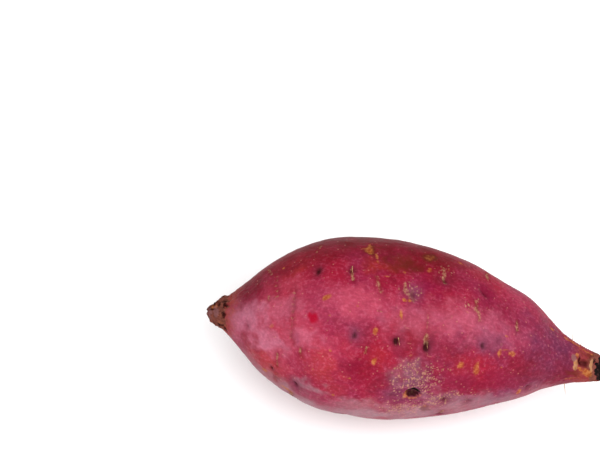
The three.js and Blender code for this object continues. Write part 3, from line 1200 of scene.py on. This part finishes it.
    def _scurf(self, r: SkinRecipe, base: Socket) -> tuple[Socket, Socket]:
        """Breaks the skin into corky flecks where the scurf layer says so, the more so where it is strong.

        Args:
            r: The skin's nodes.
            base: The colour so far.

        Returns:
            The colour with the flecks, and where the flecks are.
        """
        shown: Socket | float = 0.0
        for size, stretch in ((1.0, (1, 0.7, 0.7)), (0.62, (0.7, 1, 1))):
            flecks = r.cells(r.place(stretch), size)
            chance = r.channel(flecks.outputs["Color"], 0)
            chosen = r.step(r.sum("SUBTRACT", r.layer(Layer.SCURF), chance), -0.05, 0.12)
            uneven = r.sum("MULTIPLY_ADD", r.channel(flecks.outputs["Color"], 1), 0.3, flecks.outputs["Distance"])
            shown = r.sum("MAXIMUM", shown, r.sum("MULTIPLY", r.step(uneven, 0.72, 0.3), chosen))
        pale = r.mix(r.step(r.fine, 0.35, 0.65), self.scar_pale, self.scurf)
        return r.mix(r.sum("MULTIPLY", shown, 0.7), base, pale), shown

    def _ends(self, r: SkinRecipe, base: Socket) -> Socket:
        """Lays rust, bark, char flecked with painted glints, and bare flesh at the two ends.

        Args:
            r: The skin's nodes.
            base: The colour so far.

        Returns:
            The colour with the ends.
        """
        coarse = r.lumps(r.spot, 2.2, 4, 0.65, 0.6)
        rust = r.sum("MULTIPLY", r.layer(Layer.RUST), r.step(r.fine, 0.25, 0.7, (0.35, 0.9)))
        base = r.mix(rust, base, self.rust)
        bark = r.mix(r.step(coarse, 0.34, 0.52), self.bark_dark, self.bark)
        base = r.mix(r.ragged(Layer.BARK, coarse, 0.6, 0.35, 0.65), base, bark)
        # Black char flecked with mauve-grey: painted glints.
        char = r.mix(r.step(r.fine, 0.5, 0.75, (0, 0.5)), self.char, self.mauve)
        base = r.mix(r.ragged(Layer.CHAR, coarse, 0.4, 0.35, 0.65), base, char)
        flesh = r.mix(r.step(r.lumps(r.place((0.35, 1, 1)), 0.9, 3), 0.25, 0.5), self.ochre, self.flesh)
        return r.mix(r.ragged(Layer.FLESH, r.fine, 0.4, 0.38, 0.6), base, flesh)

    def _wear(self, r: SkinRecipe, base: Socket) -> Socket:
        """Lays the bruise, the rubbed patches, the scars and the pits. Some olive and dark patches are painted
        shade.

        Args:
            r: The skin's nodes.
            base: The colour so far.

        Returns:
            The finished colour.
        """
        ochre = r.mix(r.step(r.fine, 0.35, 0.65), self.ochre_brown, self.ochre)
        scar = r.mix(r.step(r.fine, 0.42, 0.62), self.scar, self.scar_pale)
        marks = (
            (Layer.BRUISE, self.bruise, r.fine, 0.4, (0.2, 0.95), 0.95),
            (Layer.OLIVE, self.olive, r.mottle, 0.7, (0.2, 1.0), 0.8),
            (Layer.OCHRE, ochre, r.fine, 0.5, (0.28, 0.9), 0.85),
            (Layer.MAUVE, self.mauve, r.fine, 0.5, (0.34, 0.7), 0.85),
            (Layer.SCAR, scar, r.fine, 0.8, (0.3, 0.9), 0.8),
            (Layer.PIT, self.pit, r.fine, 0.4, (0.2, 0.95), 0.92),
        )
        for layer, tone, pattern, wild, (low, high), most in marks:
            base = r.mix(r.sum("MULTIPLY", r.ragged(layer, pattern, wild, low, high), most), base, tone)
        return base

    def _gloss(self, r: SkinRecipe) -> None:
        """Makes the skin satin, and its corky, woody and dried marks dull.

        Args:
            r: The skin's nodes.
        """
        corky = {Layer.BLOOM: 0.06, Layer.SCAR: 0.3, Layer.OCHRE: 0.2, Layer.SCURF: 0.2}
        woody = {Layer.BARK: 0.4, Layer.CHAR: 0.3}
        rough = r.step(r.fine, 0.3, 0.7, self.gloss)
        for layer, amount in (corky | woody).items():
            rough = r.sum("MULTIPLY_ADD", r.layer(layer), amount, rough)
        r.put(r.shader.inputs["Roughness"], rough)

    @staticmethod
    def _relief(r: SkinRecipe, raised: Socket) -> None:
        """Adds the relief that is too fine for the mesh.

        Args:
            r: The skin's nodes.
            raised: Where pores and flecks stand up.
        """
        skin = r.relief(raised, 0.5, 0.25, r.relief(r.streaks, 0.3, 0.25, r.relief(r.fine, 0.25, 0.25)))
        bark = r.sum("MULTIPLY", r.layer(Layer.BARK), r.lumps(r.spot, 0.9, 4, 0.7))
        r.put(r.shader.inputs["Normal"], r.relief(bark, 0.8, 0.6, skin))


@dataclass(frozen=True)
class RootSkin:
    """The root's visible body: a round blank drawn out in rings, laid on the root's form and marked."""

    form: RootForm
    finish: SkinFinish
    sides: int = 36
    rings: int = 42
    crowding: float = 0.3
    levels: int = 3
    uv_margin: float = 0.004
    name: str = "root_skin"

    def stations(self) -> list[float]:
        """Where the blank's rings lie from one pole, 0, to the other, 1: closer together towards both ends."""
        shares = [(i + 1) / (self.rings + 1) for i in range(self.rings)]
        return [share - self.crowding * math.sin(2 * math.pi * share) / (2 * math.pi) for share in shares]

    def build(self) -> Piece:
        """Makes the piece.

        Returns:
            The finished piece, which stands for the CAD part and rides on its body.
        """
        skin = self._draw_blank()
        mesh = skin.data
        x, y, z = read(mesh.vertices, "co", 3).T / MM
        station, turn = np.clip(x / self.form.length, 0, 1), np.arctan2(z, -y)
        along, radius = self.form.at(station)
        radius += self.form.unevenness(along, turn)
        chart = Chart(along, turn, radius, self.form.points(along, turn, radius))
        self._unwrap(mesh, station, turn)
        small = (*FRONT_SIDE.marks(), *HIDDEN_SIDE.marks(), *ScatteredMarks().marks())
        for mark in (*small, Wound(), WoodyCrown(), TornTail(), SmallRelief()):
            mark.lay(chart)
        self._lay_down(mesh, chart)
        for layer, value in chart.layers.items():
            mesh.attributes.new(layer.value, "FLOAT", "POINT").data.foreach_set("value", value.astype(np.float32))
        mesh.materials.append(self.finish.material())
        bpy.ops.object.shade_smooth()
        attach(skin, BODY)
        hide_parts(NODE)
        return skin

    def _draw_blank(self) -> Piece:
        """Draws out a straight blank along +X, whose rings lie at the stations times the root's length.

        Returns:
            The blank, closed at both poles and made fine.
        """
        length = self.form.length * MM
        stations = self.stations()
        radii = self.form.at(np.array(stations))[1] * MM
        bpy.ops.object.select_all(action="DESELECT")
        first, facing = (stations[0] * length, 0, 0), (0, math.pi / 2, 0)
        bpy.ops.mesh.primitive_circle_add(vertices=self.sides, radius=radii[0], location=first, rotation=facing)
        blank = bpy.context.object
        blank.name = blank.data.name = self.name
        bpy.ops.object.transform_apply(location=True, rotation=True, scale=True)
        bpy.ops.object.mode_set(mode="EDIT")
        bpy.ops.mesh.select_all(action="SELECT")
        self._draw_out(-stations[0] * length)
        bpy.ops.mesh.merge(type="CENTER")
        bpy.ops.mesh.select_all(action="DESELECT")
        bpy.ops.mesh.select_non_manifold()
        for i in range(1, self.rings):
            self._draw_out((stations[i] - stations[i - 1]) * length)
            narrowing = radii[i] / radii[i - 1]
            centre = (stations[i] * length, 0, 0)
            bpy.ops.transform.resize(value=(1, narrowing, narrowing), center_override=centre)
        self._draw_out((1 - stations[-1]) * length)
        bpy.ops.mesh.merge(type="CENTER")
        bpy.ops.mesh.select_all(action="SELECT")
        bpy.ops.mesh.normals_make_consistent(inside=False)
        bpy.ops.object.mode_set(mode="OBJECT")
        bpy.ops.object.modifier_add(type="SUBSURF")
        finer = blank.modifiers[-1]
        finer.subdivision_type = "SIMPLE"
        finer.levels = finer.render_levels = self.levels
        bpy.ops.object.modifier_apply(modifier=finer.name)
        return blank

    @staticmethod
    def _draw_out(step: float) -> None:
        """Extrudes the chosen ring along the blank."""
        bpy.ops.mesh.extrude_region_move(TRANSFORM_OT_translate={"value": (step, 0, 0)})

    def _unwrap(self, mesh: bpy.types.Mesh, station: Array, turn: Array) -> None:
        """Lays the UV map: across it goes around the root, and up it goes along, with its seam underneath.

        Args:
            mesh: The skin, all of quads.
            station: Each vertex's station.
            turn: Each vertex's turn in radians.
        """
        corners = read(mesh.loops, "vertex_index", 1, np.int32).reshape(-1, 4)
        across = (np.degrees(turn[corners]) + 90) / 360 % 1
        pole = (station[corners] <= 0) | (station[corners] >= 1)
        across = np.where(pole, np.roll(across, 2, axis=1), across)
        across += across.max(axis=1, keepdims=True) - across > 0.5
        across -= np.floor(across.mean(axis=1, keepdims=True))
        places = np.stack([across, station[corners]], axis=2)
        places = self.uv_margin + (1 - 2 * self.uv_margin) * places
        layer = mesh.uv_layers.new(name="OFBake")
        layer.data.foreach_set("uv", places.astype(np.float32).ravel())

    @staticmethod
    def _lay_down(mesh: bpy.types.Mesh, chart: Chart) -> None:
        """Puts the blank on the root's form, then raises and sinks its marks. Nothing goes below the floor.

        Args:
            mesh: The blank's mesh.
            chart: The skin, with all its marks laid.
        """
        write(mesh, chart.points * MM)
        outward = read(mesh.vertex_normals, "vector", 3)
        raised = chart.points + outward * chart.height[:, None]
        raised[:, 2] = np.maximum(raised[:, 2], 0.0)
        write(mesh, raised * MM)


@dataclass(frozen=True)
class Strand:
    """One fine dry root hair: where it grows, how far its tip stands off, and where it leans."""

    along: float
    turn: float
    rise: float
    run: float = 0.0
    sweep: float = 0.0
    thickness: float = 0.3


@dataclass(frozen=True)
class HairFinish:
    """Dry root hair: pale straw, dull."""

    straw: Colour = colour(196, 150, 104)
    brown: Colour = colour(120, 74, 46)

    def material(self) -> bpy.types.Material:
        """Builds the finish.

        Returns:
            The hairs' material.
        """
        r = Recipe("dry_root_hair")
        tint = r.mix(r.step(r.lumps(r.place(), 1.6), 0.35, 0.65), self.straw, self.brown)
        r.put(r.shader.inputs["Base Color"], tint)
        r.put(r.shader.inputs["Roughness"], 0.8)
        return r.material


@dataclass(frozen=True)
class RootHairs:
    """The few dry hairs left on the root: short ones in eyes and finer ones near the tail."""

    form: RootForm
    finish: HairFinish
    name: str = "root_hairs"
    curl: float = 0.7
    rooting: float = 0.4
    taper: float = 0.75
    strands: tuple[Strand, ...] = (
        Strand(57.6, 104, 0.5, 0.4, -6.0, 0.4),
        Strand(78.9, 60, 0.5, 0.9, -4.5, 0.4),
        Strand(90.2, 59, 0.4, 0.5, -4.0, 0.4),
        Strand(150.6, 128, 3.6, -0.6, 6.0, 0.3),
        Strand(149.2, -12, 4.2, 1.2, -10.0, 0.3),
        Strand(154.0, 140, 2.2, 1.4, 8.0, 0.25),
        Strand(127.0, 196, 3.4, 1.6, 4.0, 0.3),
        Strand(84.0, 236, 0.6, 1.4, 4.0, 0.4),
        Strand(12.0, 206, 2.4, -1.4, 6.0, 0.3),
    )

    def build(self) -> Piece:
        """Makes the hairs as one piece.

        Returns:
            The finished piece, which rides on the root.
        """
        grown = [self._grow(strand) for strand in self.strands]
        for hair in grown:
            hair.select_set(True)
        bpy.ops.object.join()
        hairs = bpy.context.object
        hairs.name = hairs.data.name = self.name
        hairs.data.materials.append(self.finish.material())
        bpy.ops.object.shade_smooth()
        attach(hairs, BODY)
        return hairs

    def _grow(self, strand: Strand) -> Piece:
        """Makes one hair: a tapering curve that starts just inside the skin, turned into a mesh.

        Args:
            strand: The hair's place and shape.

        Returns:
            The hair.
        """
        bpy.ops.object.select_all(action="DESELECT")
        bpy.ops.curve.primitive_nurbs_path_add()
        hair = bpy.context.object
        spline = hair.data.splines[0]
        share = np.linspace(0, 1, len(spline.points))
        skin = self.form.at(self.form.station_of(strand.along))[1]
        radius = skin + strand.rise * share**self.curl - self.rooting * (1 - share)
        turn = np.radians(strand.turn + strand.sweep * share)
        places = self.form.points(strand.along + strand.run * share, turn, radius) * MM
        for point, place, far in zip(spline.points, places, share):
            point.co = (*place, 1)
            point.radius = 1 - self.taper * far
        spline.use_endpoint_u = True
        spline.resolution_u = 4
        hair.data.bevel_depth = strand.thickness / 2 * MM
        hair.data.bevel_resolution = 1
        hair.data.use_fill_caps = True
        bpy.ops.object.convert(target="MESH")
        return hair


@dataclass(frozen=True)
class Lamp:
    """One large soft light, aimed at the root."""

    name: str
    turn: float
    elevation: float
    distance: float
    size: float
    power: float


@dataclass(frozen=True)
class Studio:
    """What surrounds the root: a pale floor, an even white sky and soft lights. None of it is the object."""

    floor_size: float = 8.0
    floor_colour: Colour = colour(250, 250, 250)
    sky: Colour = (1.0, 1.0, 1.0, 1.0)
    sky_strength: float = 0.85
    lamps: tuple[Lamp, ...] = (
        Lamp("key", 55, 55, 1.2, 1.0, 10.5),
        Lamp("overhead", -30, 78, 1.2, 0.9, 3.0),
        Lamp("fill", 30, 32, 1.4, 1.2, 3.4),
    )

    def build(self) -> None:
        """Makes the floor, the sky and the lights."""
        bpy.ops.object.select_all(action="DESELECT")
        bpy.ops.mesh.primitive_plane_add(size=self.floor_size)
        floor = bpy.context.object
        floor.name = "floor"
        paper = Recipe("white_paper")
        paper.put(paper.shader.inputs["Base Color"], self.floor_colour)
        paper.put(paper.shader.inputs["Roughness"], 1.0)
        paper.put(paper.shader.inputs["Specular IOR Level"], 0.0)
        floor.data.materials.append(paper.material)
        world = bpy.data.worlds.new("white_sky")
        world.use_nodes = True
        background = world.node_tree.nodes["Background"]
        background.inputs["Color"].default_value = self.sky
        background.inputs["Strength"].default_value = self.sky_strength
        bpy.context.scene.world = world
        for lamp in self.lamps:
            place = outward(lamp.turn, lamp.elevation) * lamp.distance
            bpy.ops.object.light_add(type="AREA", location=place)
            light = bpy.context.object
            light.name = lamp.name
            light.rotation_euler = place.to_track_quat("Z", "Y").to_euler()
            light.data.size = lamp.size
            light.data.energy = lamp.power


@dataclass(frozen=True)
class Camera:
    """Where the root is seen from: above and in front of it, turned a little to its right."""

    turn: float = 7.8
    elevation: float = 60.0
    distance: float = 0.5868
    aim: tuple[float, float, float] = (0.0, 0.0, 0.035)
    rightward: float = -0.0466
    upward: float = 0.0448
    lens: float = 85.0
    sensor: float = 36.0

    def build(self) -> Piece:
        """Makes the camera and looks through it.

        Returns:
            The camera.
        """
        back = outward(self.turn, self.elevation)
        right = Vector((math.cos(math.radians(self.turn)), math.sin(math.radians(self.turn)), 0))
        up = back.cross(right)
        place = Vector(self.aim) + back * self.distance + right * self.rightward + up * self.upward
        facing = Matrix((right, up, back)).transposed()
        bpy.ops.object.camera_add(location=place, rotation=facing.to_euler())
        camera = bpy.context.object
        camera.data.lens = self.lens
        camera.data.sensor_width = self.sensor
        camera.data.clip_start = 0.01
        bpy.context.scene.camera = camera
        return camera


def outward(turn: float, elevation: float) -> Vector:
    """The direction from the root towards a place around and above it, both in degrees."""
    a, e = math.radians(turn), math.radians(elevation)
    return Vector((math.sin(a) * math.cos(e), -math.cos(a) * math.cos(e), math.sin(e)))


def report(piece: Piece) -> None:
    """Logs a piece's name, size and number of faces."""
    size = " x ".join(f"{side / MM:.1f}" for side in piece.dimensions)
    log.info("%s: %s mm, %d faces", piece.name, size, len(piece.data.polygons))


def main() -> None:
    """Builds the root, its hairs and the studio."""
    logging.basicConfig(level=logging.INFO, format="%(message)s")
    form = RootForm()
    report(RootSkin(form, SkinFinish()).build())
    report(RootHairs(form, HairFinish()).build())
    Studio().build()
    Camera().build()
    bpy.context.scene.view_settings.view_transform = "Standard"
    bpy.context.view_layer.update()


if __name__ == "__main__":
    main()
